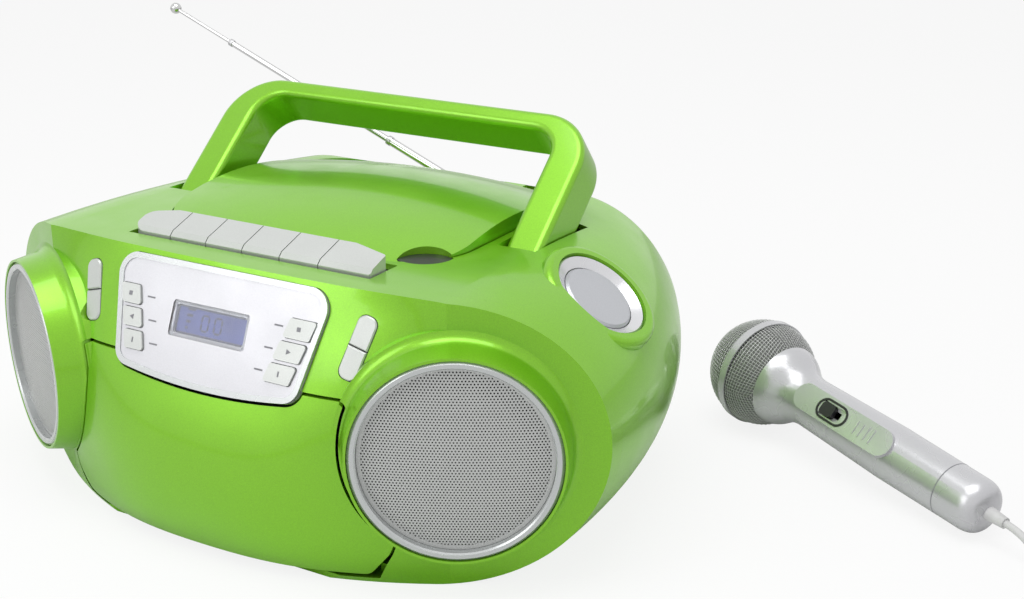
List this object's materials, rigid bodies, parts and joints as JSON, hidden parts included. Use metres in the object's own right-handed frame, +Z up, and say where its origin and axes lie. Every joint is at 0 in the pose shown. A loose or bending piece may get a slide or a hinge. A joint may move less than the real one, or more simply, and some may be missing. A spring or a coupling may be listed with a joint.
{
  "type": "karaoke machine",
  "caption": "Portable tape and disc player with carrying handle, toed-out round speakers, telescopic antenna and a wired handheld microphone lying beside it.",
  "frame": {"origin": "middle of the flat base, on the surface that the machine stands on", "axes": "+X to the right as seen from the front, -Y out of the front, +Z up"},
  "size_m": [0.5521, 0.2757, 0.1868],
  "materials": {
    "green_shell": "metallic lime green lacquer, glossy",
    "silver_plastic": "silver lacquer, satin gloss",
    "silver_keys": "silver lacquer, satin",
    "chrome_trim": "bright plated trim",
    "grille_steel": "grey perforated sheet",
    "lcd_blue": "blue backlit display window",
    "black_plastic": "black, fine matt",
    "dark_grey_plastic": "dark grey, matt",
    "steel": "plain steel",
    "antenna_chrome": "chromed tube",
    "board_green": "printed board",
    "mic_silver": "silver lacquer, soft gloss",
    "mic_mesh": "woven wire, grey",
    "cord_grey": "light grey flexible jacket"
  },
  "bodies": {
    "cabinet": {"front_cabinet": "green_shell", "rear_cabinet": "green_shell", "door_hinge_pins": "steel", "control_panel": "silver_plastic", "panel_bezel": "chrome_trim", "lcd_window": "lcd_blue", "lcd_module": "dark_grey_plastic", "tuning_bezel": "silver_plastic", "speaker_ring_left": "chrome_trim", "speaker_ring_right": "chrome_trim", "speaker_grille_left": "grille_steel", "speaker_grille_right": "grille_steel", "speaker_drivers": "dark_grey_plastic", "lid_hinge_pins": "steel", "disc_deck": "black_plastic", "handle_pivots": "steel", "cassette_chassis": "dark_grey_plastic", "main_board": "board_green", "power_transformer": "dark_grey_plastic", "rear_sockets": "black_plastic", "case_screws": "steel"},
    "cassette_door": {"cassette_door": "green_shell"},
    "lid_button": {"lid_button": "black_plastic"},
    "disc_lid": {"disc_lid": "green_shell"},
    "disc_spindle": {"disc_spindle": "dark_grey_plastic"},
    "pickup_sled": {"pickup_sled": "black_plastic"},
    "handle": {"handle": "green_shell"},
    "antenna_base": {"antenna_swivel": "steel"},
    "antenna_lower": {"antenna_lower": "antenna_chrome"},
    "antenna_middle": {"antenna_middle": "antenna_chrome"},
    "antenna_tip": {"antenna_tip": "antenna_chrome"},
    "tuning_knob": {"tuning_knob": "silver_plastic"},
    "battery_door": {"battery_door": "green_shell"},
    "reel_hub_left": {"reel_hub_left": "dark_grey_plastic"},
    "reel_hub_right": {"reel_hub_right": "dark_grey_plastic"},
    "capstan": {"capstan": "steel"},
    "microphone": {"mic_body": "mic_silver", "mic_grille": "mic_mesh", "mic_band": "mic_silver", "mic_strain_relief": "cord_grey", "mic_cord": "cord_grey", "mic_coil": "cord_grey", "mic_plug": "steel"},
    "mic_switch": {"mic_switch": "black_plastic"},
    "panel_button_left_1": {"panel_button_left_1": "silver_keys"},
    "panel_button_left_2": {"panel_button_left_2": "silver_keys"},
    "panel_button_left_3": {"panel_button_left_3": "silver_keys"},
    "panel_button_right_1": {"panel_button_right_1": "silver_keys"},
    "panel_button_right_2": {"panel_button_right_2": "silver_keys"},
    "panel_button_right_3": {"panel_button_right_3": "silver_keys"},
    "side_button_left_upper": {"side_button_left_upper": "silver_keys"},
    "side_button_left_lower": {"side_button_left_lower": "silver_keys"},
    "side_button_right_upper": {"side_button_right_upper": "silver_keys"},
    "side_button_right_lower": {"side_button_right_lower": "silver_keys"},
    "tape_key_1": {"tape_key_1": "silver_keys"},
    "tape_key_2": {"tape_key_2": "silver_keys"},
    "tape_key_3": {"tape_key_3": "silver_keys"},
    "tape_key_4": {"tape_key_4": "silver_keys"},
    "tape_key_5": {"tape_key_5": "silver_keys"},
    "tape_key_6": {"tape_key_6": "silver_keys"}
  },
  "joints": [
    {"name": "cassette_door_hinge", "type": "hinge", "parent": "cabinet", "child": "cassette_door", "pos_m": [0, -0.079, 0.0155], "axis": [1, 0, 0], "range_deg": [0, 18]},
    {"name": "panel_button_left_1_press", "type": "slide", "parent": "cabinet", "child": "panel_button_left_1", "axis": [0, 0.9219, -0.3875], "range_m": [0, 0.0012], "stiffness_N_per_m": 250},
    {"name": "panel_button_left_2_press", "type": "slide", "parent": "cabinet", "child": "panel_button_left_2", "axis": [0, 0.9219, -0.3875], "range_m": [0, 0.0012], "stiffness_N_per_m": 250},
    {"name": "panel_button_left_3_press", "type": "slide", "parent": "cabinet", "child": "panel_button_left_3", "axis": [0, 0.9219, -0.3875], "range_m": [0, 0.0012], "stiffness_N_per_m": 250},
    {"name": "panel_button_right_1_press", "type": "slide", "parent": "cabinet", "child": "panel_button_right_1", "axis": [0, 0.9219, -0.3875], "range_m": [0, 0.0012], "stiffness_N_per_m": 250},
    {"name": "panel_button_right_2_press", "type": "slide", "parent": "cabinet", "child": "panel_button_right_2", "axis": [0, 0.9219, -0.3875], "range_m": [0, 0.0012], "stiffness_N_per_m": 250},
    {"name": "panel_button_right_3_press", "type": "slide", "parent": "cabinet", "child": "panel_button_right_3", "axis": [0, 0.9219, -0.3875], "range_m": [0, 0.0012], "stiffness_N_per_m": 250},
    {"name": "side_button_left_upper_press", "type": "slide", "parent": "cabinet", "child": "side_button_left_upper", "axis": [0.1465, 0.9251, -0.3502], "range_m": [0, 0.0012], "stiffness_N_per_m": 250},
    {"name": "side_button_left_lower_press", "type": "slide", "parent": "cabinet", "child": "side_button_left_lower", "axis": [0.1465, 0.9251, -0.3502], "range_m": [0, 0.0012], "stiffness_N_per_m": 250},
    {"name": "side_button_right_upper_press", "type": "slide", "parent": "cabinet", "child": "side_button_right_upper", "axis": [-0.1465, 0.9251, -0.3502], "range_m": [0, 0.0012], "stiffness_N_per_m": 250},
    {"name": "side_button_right_lower_press", "type": "slide", "parent": "cabinet", "child": "side_button_right_lower", "axis": [-0.1465, 0.9251, -0.3502], "range_m": [0, 0.0012], "stiffness_N_per_m": 250},
    {"name": "tape_key_1_press", "type": "hinge", "parent": "cabinet", "child": "tape_key_1", "pos_m": [0, -0.0324, 0.114], "axis": [1, 0, 0], "range_deg": [0, 8], "stiffness_Nm_per_rad": 0.06},
    {"name": "tape_key_2_press", "type": "hinge", "parent": "cabinet", "child": "tape_key_2", "pos_m": [0, -0.0324, 0.114], "axis": [1, 0, 0], "range_deg": [0, 8], "stiffness_Nm_per_rad": 0.06},
    {"name": "tape_key_3_press", "type": "hinge", "parent": "cabinet", "child": "tape_key_3", "pos_m": [0, -0.0324, 0.114], "axis": [1, 0, 0], "range_deg": [0, 8], "stiffness_Nm_per_rad": 0.06},
    {"name": "tape_key_4_press", "type": "hinge", "parent": "cabinet", "child": "tape_key_4", "pos_m": [0, -0.0324, 0.114], "axis": [1, 0, 0], "range_deg": [0, 8], "stiffness_Nm_per_rad": 0.06},
    {"name": "tape_key_5_press", "type": "hinge", "parent": "cabinet", "child": "tape_key_5", "pos_m": [0, -0.0324, 0.114], "axis": [1, 0, 0], "range_deg": [0, 8], "stiffness_Nm_per_rad": 0.06},
    {"name": "tape_key_6_press", "type": "hinge", "parent": "cabinet", "child": "tape_key_6", "pos_m": [0, -0.0324, 0.114], "axis": [1, 0, 0], "range_deg": [0, 8], "stiffness_Nm_per_rad": 0.06},
    {"name": "lid_button_press", "type": "slide", "parent": "cabinet", "child": "lid_button", "axis": [0, 0, -1], "range_m": [0, 0.0025], "stiffness_N_per_m": 250},
    {"name": "disc_lid_hinge", "type": "hinge", "parent": "cabinet", "child": "disc_lid", "pos_m": [0, 0.0964, 0.117], "axis": [-1, 0, 0], "range_deg": [0, 24]},
    {"name": "disc_spin", "type": "hinge", "parent": "cabinet", "child": "disc_spindle", "pos_m": [0, 0.034, 0.108], "axis": [0, 0, 1], "continuous": true},
    {"name": "pickup_travel", "type": "slide", "parent": "cabinet", "child": "pickup_sled", "axis": [-1, 0, 0], "range_m": [0, 0.03]},
    {"name": "handle_swing", "type": "hinge", "parent": "cabinet", "child": "handle", "pos_m": [0, 0.0233, 0.109], "axis": [1, 0, 0], "range_deg": [-4, 49]},
    {"name": "antenna_turn", "type": "hinge", "parent": "cabinet", "child": "antenna_base", "pos_m": [0.03, 0.1175, 0.096], "axis": [0, 1, 0], "range_deg": [-21, 159]},
    {"name": "antenna_tilt", "type": "hinge", "parent": "antenna_base", "child": "antenna_lower", "pos_m": [0.03, 0.1175, 0.096], "axis": [-0.3778, 0, -0.9259], "range_deg": [0, 90]},
    {"name": "antenna_middle_slide", "type": "slide", "parent": "antenna_lower", "child": "antenna_middle", "axis": [-0.9259, 0, 0.3778], "range_m": [-0.06, 0]},
    {"name": "antenna_tip_slide", "type": "slide", "parent": "antenna_middle", "child": "antenna_tip", "axis": [-0.9259, 0, 0.3778], "range_m": [-0.036, 0.052]},
    {"name": "tuning_turn", "type": "hinge", "parent": "cabinet", "child": "tuning_knob", "pos_m": [0.131, 0.011, 0.106], "axis": [0.6088, 0, 0.7934], "range_deg": [-135, 135]},
    {"name": "battery_door_hinge", "type": "hinge", "parent": "cabinet", "child": "battery_door", "pos_m": [0, 0.11, 0.016], "axis": [-1, 0, 0], "range_deg": [0, 90]},
    {"name": "capstan_spin", "type": "hinge", "parent": "cabinet", "child": "capstan", "pos_m": [0.008, -0.068, 0.024], "axis": [0, 1, 0], "continuous": true},
    {"name": "reel_right_spin", "type": "hinge", "parent": "cabinet", "child": "reel_hub_right", "pos_m": [0.02125, -0.068, 0.044], "axis": [0, 1, 0], "continuous": true},
    {"name": "reel_left_spin", "type": "hinge", "parent": "cabinet", "child": "reel_hub_left", "pos_m": [-0.02125, -0.068, 0.044], "axis": [0, 1, 0], "continuous": true},
    {"name": "microphone_lift", "type": "slide", "parent": "cabinet", "child": "microphone", "axis": [0, 0, 1], "range_m": [0, 0.15]},
    {"name": "mic_switch_slide", "type": "slide", "parent": "microphone", "child": "mic_switch", "axis": [0.8788, -0.4683, -0.0916], "range_m": [0, 0.005]}
  ],
  "couplings": [
    {"joint": "reel_right_spin", "follows": "capstan_spin", "ratio": 0.3}
  ]
}
